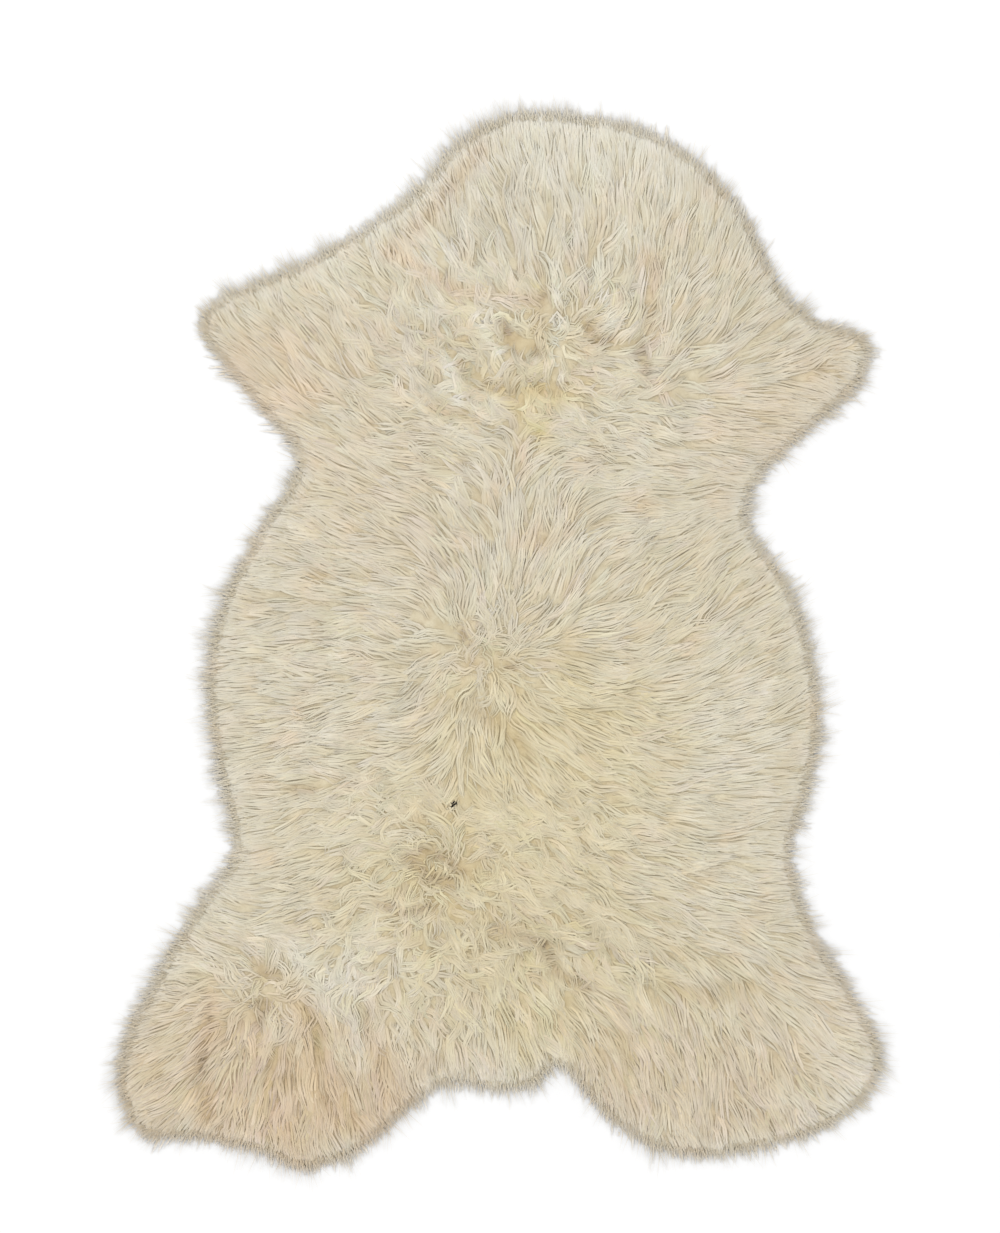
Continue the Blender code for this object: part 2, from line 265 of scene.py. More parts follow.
# Where the wool parts along a line and shows its darker roots, in millimetres
PARTINGS = [
    Parting("neck, left", [(-17, 490), (-52, 445), (-82, 407), (-107, 387)], 13, 4, PINK_TAN, 0.5),
    Parting("neck, left, middle", [(-17, 490), (-52, 445), (-82, 407)], 4.5, 4, BROWN_ROOTS, 0.6),
    Parting("throat, upper left", [(-107, 387), (-70, 370), (-40, 345)], 7, 4, PINK_TAN, 0.9),
    Parting("throat, left of crown", [(7, 316), (15, 296)], 5, 3, BROWN_ROOTS, 0.7),
    Parting("neck crown", [(47, 344), (52, 332)], 5, 3, BROWN_ROOTS, 0.6),
    Parting("neck crown, right", [(88, 316), (98, 300), (112, 297)], 5, 3, BROWN_ROOTS, 0.7),
    Parting("throat, right", [(143, 294), (148, 267)], 6, 4, BROWN_ROOTS, 0.7),
    Parting("neck, right", [(158, 372), (151, 312)], 8, 3, PINK_TAN, 0.7),
    Parting("throat, middle", [(-70, 302), (-48, 290), (-28, 262)], 6, 3, OLIVE_TAN, 0.6),
    Parting("throat, under crown", [(38, 292), (44, 286)], 6, 3, BROWN_ROOTS, 0.5),
    Parting("throat, low", [(-10, 252), (28, 246), (66, 254)], 6, 3, TAN_ROOTS, 0.6),
    Parting("throat, low left", [(-62, 232), (-30, 222)], 6, 3, TAN_ROOTS, 0.5),
    Parting("peach lock, throat", [(-27, 348), (36, 338)], 7, -1, PINK_TAN, 0.6),
    Parting("pale lock, under neck crown", [(61, 310), (63, 262)], 6, -2, PALE_LOCK, 0.9),
    Parting("pale lock, throat", [(-20, 322), (8, 278)], 6, -2, PALE_LOCK, 0.8),
    Parting("pale lock, throat, left", [(-50, 282), (-38, 238)], 7, -2, PALE_LOCK, 0.7),
    Parting("pale lock, over neck crown", [(58, 372), (60, 338)], 7, -2, PALE_LOCK, 0.8),
    Parting("pale lock, right of neck crown", [(100, 372), (112, 318)], 7, -2, PALE_LOCK, 0.7),
    Parting("left flank", [(-200, -143), (-184, -147)], 6, 3, BROWN_ROOTS, 0.6),
    Parting("left ribs", [(-181, 68), (-168, 66)], 5, 2, TAN_ROOTS, 0.8),
    Parting("left ribs, low", [(-215, 28), (-180, 24)], 10, 1, GREY_CREAM, 0.7),
    Parting("back crown, left", [(-37, 16), (-27, -2)], 3.5, 3, BROWN_ROOTS, 0.8),
    Parting("back crown, right", [(10, -23), (18, -26)], 3.5, 3, BROWN_ROOTS, 0.8),
    Parting("saddle, left", [(-52, 80), (-37, 80)], 3, 2, BROWN_ROOTS, 0.5),
    Parting("loin", [(-40, -62), (0, -78), (34, -112)], 7, 3, TAN_ROOTS, 0.5),
    Parting("rump, left", [(-87, -214), (-68, -232), (-44, -238)], 6, 4, BROWN_ROOTS, 0.75),
    Parting("rump, upper", [(-74, -206), (-52, -214), (-32, -228)], 5, 3, BROWN_ROOTS, 0.7),
    Parting("rump, far left", [(-118, -258), (-92, -268), (-64, -262)], 5, 3, BROWN_ROOTS, 0.6),
    Parting("rump, middle", [(-2, -283), (24, -290), (48, -298)], 6, 4, BROWN_ROOTS, 0.6),
    Parting("rump, right", [(48, -300), (60, -326), (90, -342)], 6, 4, BROWN_ROOTS, 0.65),
    Parting("right hind leg, inside", [(122, -388), (130, -412), (126, -432)], 8, 4, TAN_ROOTS, 0.6),
    Parting("right hind leg", [(163, -340), (210, -352), (250, -338)], 9, 3, TAN_ROOTS, 0.55),
    Parting("left hind leg, toe", [(-282, -352), (-291, -418), (-284, -470)], 7, 6, LEG_TAN, 0.9),
    Parting("left hind leg, toe, middle", [(-291, -400), (-293, -440), (-286, -468)], 4, 3, BROWN_ROOTS, 0.5),
    Parting("left hind leg", [(-239, -322), (-226, -328), (-213, -330)], 5, 3, BROWN_ROOTS, 0.7),
    Parting("left hind leg, low", [(-237, -356), (-229, -360), (-235, -374)], 5, 3, BROWN_ROOTS, 0.7),
    Parting("left hind leg, right", [(-191, -364), (-181, -378), (-173, -410)], 5, 3, TAN_ROOTS, 0.9),
    Parting("left hind leg, under", [(-218, -400), (-217, -412)], 5, 3, TAN_ROOTS, 0.8),
    Parting("left hind leg, spots", [(-221, -436), (-195, -434)], 6, 3, TAN_ROOTS, 0.7),
    Parting("pale lock, left haunch", [(-192, -318), (-135, -345)], 20, -1, PALE_LOCK, 0.35),
    Parting("pale lock, left leg", [(-140, -372), (-132, -415)], 8, -1, PALE_LOCK, 0.4),
    Parting("left leg, inside", [(-127, -366), (-129, -388)], 4, 3, BROWN_ROOTS, 0.6),
    Parting("right foreleg", [(318, 276), (324, 270)], 4, 2, BROWN_ROOTS, 0.6),
]

# Locks of wool: how many strands in each, and the strands' own sizes
LOCK_SPACING = 11.9 * MM
RIM_SPACING = 9.8 * MM
CURL_SPACING = 8.5 * MM
LOCK_SPREAD = 7.8 * MM
LOCK_GATHER = 0.35
STRANDS_A_LOCK = 7
STRAND_LENGTH = 54 * MM
CURL_LENGTH = 46 * MM
FINEST_RADIUS = 0.55 * MM
COARSEST_RADIUS = 1.5 * MM
RIM_SEGMENTS = 3
STRAIGHT_SEGMENTS = 4
CURLY_SEGMENTS = 5
SCATTER = 2.0
LEAST_CURL = 0.42
ROOT_MARGIN = 9 * MM
RIM_WIDTH = 14 * MM
SHORT_WIDTH = 24 * MM
TIP_REACH = (-6 * MM, 5 * MM)
TIP_TUFTS = 3 * MM

# Loose fine hairs around the rim
HALO_HAIRS = 9000
HALO_RADIUS = 0.27 * MM
HALO_ROOT = (3 * MM, 13 * MM)
HALO_REACH = (0 * MM, 17 * MM)

Knot = namedtuple("Knot", "along lift thickness")

# How a strand rises out of the undercoat and lies over: lift in millimetres, thickness as a share
PROFILE = [
    Knot(0.0, -1.2, 0.9),
    Knot(0.2, 0.3, 1.08),
    Knot(0.45, 0.9, 1.0),
    Knot(0.75, 1.0, 0.72),
    Knot(1.0, 0.4, 0.0),
]

BANDS = ["wool_neck", "wool_shoulders", "wool_back", "wool_flanks", "wool_rump", "wool_hind_legs"]


# Camera, floor and light


def add_camera():
    distance = LENS / SENSOR * PHOTO_HEIGHT
    bpy.ops.object.camera_add(location=(*PHOTO_MIDDLE, distance), rotation=(0, 0, 0))
    camera = bpy.context.object
    camera.name = "overhead_camera"
    camera.data.lens = LENS
    camera.data.sensor_width = SENSOR
    bpy.context.scene.camera = camera


def add_softbox(name, place, size, power, aim=(0, 0, 0)):
    bpy.ops.object.light_add(type="AREA", location=place)
    lamp = bpy.context.object
    lamp.name = name
    lamp.data.shape = "DISK"
    lamp.data.size = size
    lamp.data.energy = power
    towards = lamp.location.copy()
    for axis in range(3):
        towards[axis] = aim[axis] - place[axis]
    lamp.rotation_euler = towards.to_track_quat("-Z", "Y").to_euler()


def light_studio():
    world = bpy.data.worlds.new("studio_air")
    world.use_nodes = True
    air = world.node_tree.nodes["Background"]
    air.inputs["Color"].default_value = (1.0, 1.0, 1.0, 1.0)
    air.inputs["Strength"].default_value = 1.02
    bpy.context.scene.world = world
    bpy.context.scene.view_settings.view_transform = "Standard"
    add_softbox("softbox_left", (-1.3, 1.2, 2.1), 1.0, 12)
    add_softbox("softbox_right", (1.6, -0.6, 2.2), 1.4, 4)


def add_floor():
    bpy.ops.mesh.primitive_plane_add(size=12, location=(0, 0, 0))
    floor = bpy.context.object
    floor.name = "studio_floor"
    white = Finish("studio_white", roughness=0.9)
    white.set("Base Color", (0.9, 0.9, 0.9, 1.0))
    floor.data.materials.append(white.material)


# Materials


class Finish:
    """One material and the nodes that it is built from."""

    def __init__(self, name, roughness, **constants):
        self.material = bpy.data.materials.new(name)
        self.material.use_nodes = True
        self.tree = self.material.node_tree
        self.shader = self.tree.nodes["Principled BSDF"]
        self.set("Roughness", roughness)
        for socket, value in constants.items():
            self.set(socket.replace("_", " ").title().replace("Ior", "IOR"), value)

    def set(self, socket, value):
        self.feed(self.shader.inputs[socket], value)

    def feed(self, socket, value):
        value = getattr(value, "socket", value)
        if isinstance(value, bpy.types.NodeSocket):
            self.tree.links.new(value, socket)
        else:
            socket.default_value = value

    def node(self, kind, settings=(), inputs=()):
        made = self.tree.nodes.new("ShaderNode" + kind)
        for name, value in dict(settings).items():
            setattr(made, name, value)
        for name, value in dict(inputs).items():
            self.feed(made.inputs[name], value)
        return made

    def number(self, node, output=0):
        return Number(self, node.outputs[output])

    def noise(self, scale, detail=3.0, vector=None):
        inputs = {"Scale": scale, "Detail": detail}
        if vector is not None:
            inputs["Vector"] = vector
        return self.number(self.node("TexNoise", inputs=inputs), "Fac")

    def mix(self, amount, first, second, blend="MIX"):
        settings = {"data_type": "RGBA", "blend_type": blend}
        inputs = {0: amount, 6: first, 7: second}
        return self.node("Mix", settings, inputs).outputs[2]

    def bump(self, height, distance, strength=1.0, under=None):
        inputs = {"Height": height, "Distance": distance, "Strength": strength}
        if under is not None:
            inputs["Normal"] = under
        return self.node("Bump", inputs=inputs).outputs["Normal"]

    def stretched(self, vector, scale):
        settings = {"operation": "MULTIPLY"}
        return self.node("VectorMath", settings, {0: vector, 1: scale}).outputs[0]


class Number:
    """A node's number. Arithmetic on it adds Math nodes."""

    def __init__(self, finish, socket):
        self.finish = finish
        self.socket = socket

    def joined(self, operation, first, second, limited=False):
        settings = {"operation": operation, "use_clamp": limited}
        return self.finish.number(self.finish.node("Math", settings, {0: first, 1: second}))

    def __add__(self, other):
        return self.joined("ADD", self, other)

    def __radd__(self, other):
        return self.joined("ADD", other, self)

    def __sub__(self, other):
        return self.joined("SUBTRACT", self, other)

    def __rsub__(self, other):
        return self.joined("SUBTRACT", other, self)

    def __mul__(self, other):
        return self.joined("MULTIPLY", self, other)

    def __rmul__(self, other):
        return self.joined("MULTIPLY", other, self)

    def limited(self):
        return self.joined("ADD", self, 0.0, limited=True)


def wool_finish(across):
    """Long wool: each strand's colour, with the painted light and shade that its tint carries, paler to its
    tip, with fine fibres along it. Its darker, warmer root end is partly the wool's own colour and partly
    painted shade deep in the wool.
    """
    wool = Finish("long_wool", 0.78, sheen_weight=0.25, sheen_roughness=0.5, specular_ior_level=0.25)
    tint = wool.node("Attribute", {"attribute_name": "tint"}).outputs["Color"]
    along = wool.number(wool.node("Attribute", {"attribute_name": "along"}), "Fac")
    place = wool.node("TexCoord").outputs["Object"]
    atlas = wool.node("UVMap", {"uv_map": "OFBake"}).outputs["UV"]
    fibres = wool.noise(1.0, 2.0, wool.stretched(atlas, (across * 9.0, across * 0.8, 1.0)))
    mottle = wool.noise(38.0, 4.0, place)
    # Darker and warmer towards the root: partly the wool's own root colour, partly painted shade where the
    # strands lie deep in the wool.
    root_tan_and_painted_shade = (0.94, 0.88, 0.77, 1.0)
    light = (1.0, 1.0, 1.0, 1.0)
    rooted = wool.mix((along * 1.5).limited(), root_tan_and_painted_shade, light)
    shaded = wool.mix(1.0, tint, rooted, "MULTIPLY")
    fine = wool.mix(((fibres - 0.35) * 2.6).limited(), (0.93, 0.92, 0.90, 1.0), light)
    shaded = wool.mix(1.0, shaded, fine, "MULTIPLY")
    patches = wool.mix(((mottle - 0.3) * 2.2).limited(), (0.94, 0.92, 0.87, 1.0), light)
    wool.set("Base Color", wool.mix(1.0, shaded, patches, "MULTIPLY"))
    return wool.material


def undercoat_finish():
    """The dense wool low down: darker and yellower, partly its own colour and partly painted shade between
    the strands, with short fibres every way.
    """
    coat = Finish("undercoat", 0.92, sheen_weight=0.2, specular_ior_level=0.2)
    tint = coat.node("Attribute", {"attribute_name": "tint"}).outputs["Color"]
    place = coat.node("TexCoord").outputs["Object"]
    fibres = coat.noise(420.0, 4.0, place)
    locks = coat.noise(90.0, 3.0, place)
    # Darker where the lock noise dents the surface: painted shade in its hollows.
    shade = coat.mix(((locks - 0.3) * 2.5).limited(), (0.78, 0.71, 0.58, 1.0), (0.97, 0.93, 0.83, 1.0))
    coat.set("Base Color", coat.mix(1.0, tint, shade, "MULTIPLY"))
    coat.set("Normal", coat.bump(fibres, 0.8 * MM, 1.0, coat.bump(locks, 2.0 * MM, 0.7)))
    return coat.material


def hide_finish():
    """Tanned hide, flesh side: pale suede with faint mottling and a fine nap."""
    hide = Finish("tanned_hide", 0.85, sheen_weight=0.15, specular_ior_level=0.3)
    place = hide.node("TexCoord").outputs["Object"]
    cloud = hide.noise(7.0, 5.0, place)
    veins = hide.noise(36.0, 6.0, place)
    nap = hide.noise(650.0, 3.0, place)
    pale, tan = (0.80, 0.72, 0.58, 1.0), (0.68, 0.58, 0.43, 1.0)
    colour = hide.mix(((cloud - 0.3) * 2.2).limited(), tan, pale)
    stain = hide.mix(((veins - 0.42) * 5.0).limited(), (0.88, 0.84, 0.78, 1.0), (1.0, 1.0, 1.0, 1.0))
    hide.set("Base Color", hide.mix(1.0, colour, stain, "MULTIPLY"))
    hide.set("Roughness", 0.78 + nap * 0.16)
    hide.set("Normal", hide.bump(nap, 0.25 * MM, 0.8, hide.bump(veins, 0.8 * MM, 0.5)))
    return hide.material


# The pelt's plan


def smooth_loop(corners, steps=12):
    """A closed Catmull-Rom curve through the corners, as an array of points."""
    before, after, beyond = (np.roll(corners, n, axis=0) for n in (1, -1, -2))
    share = (np.arange(steps) / steps)[:, None, None]
    curve = 0.5 * (
        2 * corners
        + (after - before) * share
        + (2 * before - 5 * corners + 4 * after - beyond) * share**2
        + (3 * corners - before - 3 * after + beyond) * share**3
    )
    return curve.transpose(1, 0, 2).reshape(-1, 2)


def evenly(loop, count):
    """The closed loop with this many points, the same distance apart along it."""
    closed = np.vstack([loop, loop[:1]])
    steps = np.linalg.norm(np.diff(closed, axis=0), axis=1)
    gone = np.concatenate([[0], np.cumsum(steps)])
    places = np.arange(count) * gone[-1] / count
    return np.stack([np.interp(places, gone, closed[:, axis]) for axis in (0, 1)], axis=1)


def distances(points, loop):
    """How far each point is from the nearest side of the loop."""
    sides = np.roll(loop, -1, axis=0) - loop
    apart = points[:, None, :] - loop[None, :, :]
    share = ((apart * sides).sum(axis=2) / (sides**2).sum(axis=1)).clip(0, 1)
    return np.sqrt(((apart - share[:, :, None] * sides) ** 2).sum(axis=2)).min(axis=1)


def inside(points, loop):
    """Whether each point lies within the loop, by counting the sides to its right."""
    x, y = points[:, 0, None], points[:, 1, None]
    x0, y0 = loop.T
    x1, y1 = np.roll(loop, -1, axis=0).T
    spans = (y0 <= y) != (y1 <= y)
    rise = np.where(y1 == y0, 1.0, y1 - y0)
    return (spans & (x < x0 + (y - y0) * (x1 - x0) / rise)).sum(axis=1) % 2 == 1


def inset_loop(loop, inset, count):
    """The loop moved inwards, without the points that a sharp corner would fold over."""
    along = np.roll(loop, -1, axis=0) - np.roll(loop, 1, axis=0)
    outwards = np.stack([-along[:, 1], along[:, 0]], axis=1)
    outwards /= np.linalg.norm(outwards, axis=1)[:, None]
    moved = loop - outwards * inset
    return evenly(moved[distances(moved, loop) > 0.98 * inset], count)


def ripples(points, length, seed, waves=18):
    """Smooth uneven numbers, about -1 to 1, that change over this length."""
    draw = np.random.default_rng(seed)
    headings = draw.uniform(0, 2 * math.pi, waves)
    numbers = 2 * math.pi / (length * draw.uniform(0.7, 1.5, waves))
    phases = draw.uniform(0, 2 * math.pi, waves)
    total = np.zeros(points.shape[:-1])
    for heading, number, phase in zip(headings, numbers, phases):
        along = points[..., 0] * math.cos(heading) + points[..., 1] * math.sin(heading)
        total += np.cos(number * along + phase)
    return total / math.sqrt(waves / 2)


def strength(areas, points):
    """How strongly the listed areas reach each point, from 0 to 1."""
    total = np.zeros(points.shape[:-1])
    for area in areas:
        across = (points[..., 0] - area.across * MM) / (area.half_width * MM)
        along = (points[..., 1] - area.along * MM) / (area.half_length * MM)
        total = np.maximum(total, area.amount * np.exp(-((across**2 + along**2) ** 1.3) * 0.8))
    return total


def combed(points):
    """The direction in which the wool lies at each point, before the rim turns it outwards."""
    flow = np.zeros_like(points)
    for area in COMBINGS:
        away = ((points - np.array([area.across, area.along]) * MM) ** 2).sum(axis=1)
        heading = math.radians(area.heading)
        weight = np.exp(-away / (2 * (area.reach * MM) ** 2)) + 0.002
        flow += weight[:, None] * np.array([math.cos(heading), math.sin(heading)])
    for crown in CROWNS:
        apart = points - np.array([crown.across, crown.along]) * MM
        away = np.linalg.norm(apart, axis=1)[:, None] + MM
        flow += crown.pull * apart / away * np.exp(-((away / (1.6 * crown.radius * MM)) ** 2))
    return flow / (np.linalg.norm(flow, axis=1)[:, None] + 1e-9)


class Plan:
    """Fields over the pelt's footprint, worked out on a grid and read between its points."""

    def __init__(self, outline):
        low = outline.min(axis=0) - GRID_MARGIN
        counts = np.ceil((outline.max(axis=0) + GRID_MARGIN - low) / GRID_STEP).astype(int) + 1
        x = low[0] + np.arange(counts[0]) * GRID_STEP
        y = low[1] + np.arange(counts[1]) * GRID_STEP
        points = np.stack(np.meshgrid(x, y, indexing="ij"), axis=-1).reshape(-1, 2)
        coarse = evenly(outline, 360)
        parts = np.array_split(points, 12)
        away = np.concatenate([distances(part, coarse) for part in parts])
        within = np.concatenate([inside(part, coarse) for part in parts])
        self.low = low
        self.counts = counts
        self.depth = np.where(within, away, -away).reshape(counts)
        self.flow = self.turned_out(combed(points).reshape(*counts, 2))

    def turned_out(self, flow):
        """The flow, turned to point outwards near the rim."""
        slope = np.stack(np.gradient(self.depth, GRID_STEP), axis=-1)
        outwards = -slope / (np.linalg.norm(slope, axis=-1, keepdims=True) + 1e-9)
        near = np.exp(-self.depth.clip(0) / (14 * MM))[..., None]
        facing = (flow * outwards).sum(axis=-1, keepdims=True)
        turned = flow + near * outwards * (1.3 - facing.clip(-1, 1))
        return turned / (np.linalg.norm(turned, axis=-1, keepdims=True) + 1e-9)

    def read(self, field, points):
        """The field at each point, between the grid's four nearest."""
        place = ((points - self.low) / GRID_STEP).clip(0, self.counts - 1.001)
        corner = place.astype(int)
        i, j = corner[..., 0], corner[..., 1]
        u, v = np.moveaxis(place - corner, -1, 0)
        if field.ndim == 3:
            u, v = u[..., None], v[..., None]
        near = field[i, j] * (1 - v) + field[i, j + 1] * v
        far = field[i + 1, j] * (1 - v) + field[i + 1, j + 1] * v
        return near * (1 - u) + far * u

    def parted(self, parting, points):
        """How near each point is to the line where the wool parts, from 0 to 1."""
        line = np.array(parting.line) * MM
        there_and_back = np.concatenate([line, line[-2:0:-1]])
        away = distances(points.reshape(-1, 2), there_and_back).reshape(points.shape[:-1])
        return np.exp(-((away / (parting.width * MM)) ** 2))

    def ground(self, points):
        """The height of the undercoat: a rounded shoulder, soft lumps, dips at crowns and partings."""
        depth = self.read(self.depth, points) - UNDERCOAT_INSET
        rise = 1 - np.exp(-depth.clip(0) / UNDERCOAT_SHOULDER)
        edge = UNDERCOAT_EDGE * (1 + depth / UNDERCOAT_EDGE_WIDTH).clip(0, 1)
        heights = edge + (UNDERCOAT_HEIGHT - UNDERCOAT_EDGE) * rise
        lumps = ripples(points, 46 * MM, SEED) * 0.6 + ripples(points, 24 * MM, SEED + 1) * 0.4
        heights += lumps * TUFT_HEIGHT * 0.5 * rise
        for crown in CROWNS:
            centre = np.array([crown.across, crown.along]) * MM
            away = np.linalg.norm(points - centre, axis=-1) / (crown.radius * MM)
            heights -= crown.depth * MM * rise * np.exp(-(away**2))
        for parting in PARTINGS:
            heights -= parting.depth * MM * rise * self.parted(parting, points)
        return heights

    def paled(self, colours, points):
        """The colours, paler near and past the rim, where light comes through the thin wool."""
        amount = RIM_PALENESS * np.exp(-self.read(self.depth, points) / RIM_PALE_DEPTH)
        return colours + amount.clip(0, 0.9)[..., None] * (np.array(RIM_WHITE) - colours)

    def tint(self, points):
        """The wool's colour at each point: cream, with softer patches and soft ripples of painted light and
        shade.
        """
        colour = np.broadcast_to(np.array(WOOL_CREAM), (*points.shape[:-1], 3)).copy()
        warped = points + np.stack(
            [ripples(points, 60 * MM, SEED + 2), ripples(points, 60 * MM, SEED + 3)], axis=-1
        ) * (12 * MM)
        rosy = ripples(points, 52 * MM, SEED + 11) * 0.20 + ripples(points, 21 * MM, SEED + 12) * 0.12
        colour += rosy.clip(0, 0.8)[..., None] * (np.array(PINK_TAN) - colour)
        for area in TINTS:
            amount = strength([area], warped)[..., None]
            colour += amount * (np.array(area.colour) - colour)
        for parting in PARTINGS:
            amount = parting.amount * self.parted(parting, points)[..., None]
            colour += amount * (np.array(parting.colour) - colour)
        # Soft brighter and darker ripples: painted light and shade of the fleece's dips and rises.
        painted_shading_ripples = ripples(points, 34 * MM, SEED + 15) * 0.018 + ripples(points, 14 * MM, SEED + 16) * 0.015
        return colour * (1 + painted_shading_ripples)[..., None]


# Strands of wool


def lock_roots(plan, spacing, draw):
    """Where locks grow: staggered rows over the pelt, each root a little off its place."""
    high = plan.low + (plan.counts - 1) * GRID_STEP
    rows = np.arange(plan.low[1], high[1], spacing * math.sqrt(0.75))
    grid = np.array(
        [
            (x + (number % 2) * spacing / 2, y)
            for number, y in enumerate(rows)
            for x in np.arange(plan.low[0], high[0], spacing)
        ]
    )
    grid += draw.uniform(-0.42, 0.42, grid.shape) * spacing
    return grid[plan.read(plan.depth, grid) > ROOT_MARGIN]


def near_crowns(points, reach=0.7):
    """How near each point is to the middle of a crown, from 0 to 1."""
    near = np.zeros(len(points))
    for crown in CROWNS:
        away = np.linalg.norm(points - np.array([crown.across, crown.along]) * MM, axis=1)
        near = np.maximum(near, np.exp(-((away / (reach * crown.radius * MM)) ** 2)))
    return near


def curliness(points):
    """How curly the wool is at each point, from 0 to 1."""
    return np.maximum(strength(CURLY, points), 0.75 * near_crowns(points, 1.2))


def turn(directions, angles):
    """The directions turned by these angles."""
    x, y = np.moveaxis(directions, -1, 0)
    return np.stack(
        [x * np.cos(angles) - y * np.sin(angles), x * np.sin(angles) + y * np.cos(angles)], axis=-1
    )


def walked(plan, roots, lengths, bends, segments):
    """The plan path of each lock from its root along the lie of the wool."""
    path = [roots]
    for step in range(segments):
        lie = plan.read(plan.flow, path[-1])
        lie /= np.linalg.norm(lie, axis=1)[:, None] + 1e-9
        ahead = turn(lie, bends[:, step])
        path.append(path[-1] + ahead * (lengths / segments)[:, None])
    return np.stack(path, axis=1)


def lock_bends(roots, curl, segments, draw):
    """Each lock's length, and the angles by which it strays from the lie of the wool."""
    count = len(roots)
    along = (np.arange(segments) + 0.5) / segments
    lean = (
        0.18 * ripples(roots, 60 * MM, SEED + 5)
        + 0.11 * ripples(roots, 28 * MM, SEED + 6)
        + draw.normal(0, 0.05, count)
        + curl * (0.6 * ripples(roots, 36 * MM, SEED + 7) + draw.normal(0, 0.12, count))
    )
    lengths = draw.uniform(0.8, 1.12, count) * (STRAND_LENGTH + curl * (CURL_LENGTH - STRAND_LENGTH))
    centre = near_crowns(roots)
    lean += centre * (0.4 + draw.normal(0, 0.6, count)) + centre**4 * draw.normal(0, 1.5, count)
    lengths *= 1 - 0.35 * centre
    waves = 1.1 + draw.normal(0, 0.08, count) + curl * (0.6 + 0.25 * ripples(roots, 50 * MM, SEED + 8))
    swing = 0.17 + 0.05 * ripples(roots, 80 * MM, SEED + 9) + curl * draw.uniform(0.25, 0.5, count)
    phases = 2.6 * ripples(roots, 40 * MM, SEED + 10) + draw.normal(0, 0.35, count)
    turns = along[None, :] * waves[:, None] * 2 * math.pi + phases[:, None]
    hook = curl * (1.5 * ripples(roots, 34 * MM, SEED + 13) + draw.normal(0, 0.25, count))
    bends = lean[:, None] + swing[:, None] * np.cos(turns) + hook[:, None] * along**2
    return lengths, bends * (1 - 0.55 * strength(SMOOTH, roots)[:, None])


def lock_paths(plan, roots, curl, segments, draw):
    """Each lock's plan path, wavy or curled, and ending a little short of or past the outline."""
    lengths, bends = lock_bends(roots, curl, segments, draw)
    inner = plan.read(plan.depth, roots)
    bends *= 1 - 0.6 * np.exp(-(inner - ROOT_MARGIN).clip(0) / (25 * MM))[:, None]
    path = walked(plan, roots, lengths, bends, segments)
    limit = draw.uniform(*TIP_REACH, len(roots)) + TIP_TUFTS * ripples(roots, 26 * MM, SEED + 14)
    for _ in range(3):
        outer = -plan.read(plan.depth, path[:, -1])
        over = (outer - limit).clip(0)
        lengths *= (1 - over / (inner + outer + 1e-6)).clip(0.3, 1)
        path = walked(plan, roots, lengths, bends, segments)
    return path


def profile(name, along):
    places = [knot.along for knot in PROFILE]
    return np.interp(along, places, [getattr(knot, name) for knot in PROFILE])


Strands = namedtuple("Strands", "points radii tint")
Locks = namedtuple("Locks", "path ahead aside along curl rim still centre layer hue")


def laid_locks(plan, roots, curl, segments, draw):
    """The locks that grow at these roots: their paths, and what sets each apart from the next."""
    path = lock_paths(plan, roots, curl, segments, draw)
    count = len(roots)
    ahead = np.diff(path, axis=1, append=2 * path[:, -1:] - path[:, -2:-1])
    ahead /= np.linalg.norm(ahead, axis=2, keepdims=True) + 1e-9
    aside = np.stack([-ahead[..., 1], ahead[..., 0]], axis=-1)
    rim = np.exp(-(plan.read(plan.depth, roots) - ROOT_MARGIN).clip(0) / (16 * MM))
    layer = draw.uniform(-0.4, 0.6, count)
    still = strength(SMOOTH, roots)
    contrast = 1 - 0.5 * still + 0.9 * strength(STREAKY, roots) + 0.5 * curl
    hue = draw.normal(0, 0.025, (count, 1)) + draw.normal(0, 0.011, (count, 3)) * (0.3, 0.6, 1.5)
    # Locks lying higher are painted lighter and lower ones darker: painted light and shade by height, added
    # to each lock's own random tone.
    hue = 1 + hue * contrast[:, None] + (0.03 + 0.05 * curl)[:, None] * layer[:, None]
    along = np.arange(segments + 1) / segments
    return Locks(path, ahead, aside, along, curl, rim, still, near_crowns(roots), layer, hue)


def strand_middles(locks, draw):
    """The plan path of one strand in each lock, apart at the root and gathered towards the tip."""
    count = len(locks.path)
    curl, rim, centre = locks.curl, locks.rim, locks.centre
    spread = LOCK_SPREAD * (1 - 0.45 * curl + 0.4 * rim + 0.5 * centre)
    spread = spread * np.sqrt(draw.uniform(0, 1, count))
    heading = draw.uniform(0, 2 * math.pi, count)
    gather = (LOCK_GATHER + 0.2 * curl) * (1 - 1.6 * rim) * (1 - centre)
    shrink = 1 - gather[:, None] * locks.along**0.9
    across = (spread * np.sin(heading))[:, None] * shrink
    behind = (spread * np.cos(heading))[:, None] * shrink
    shorter = (draw.uniform(0.8, 1.0, count) - 0.36 * rim * draw.uniform(0, 1, count))[:, None]
    middle = resampled(locks.path, locks.along * shorter)
    middle = middle + across[..., None] * locks.aside + behind[..., None] * locks.ahead
    return middle + draw.normal(0, 0.35 * MM, middle.shape) * locks.along[None, :, None]


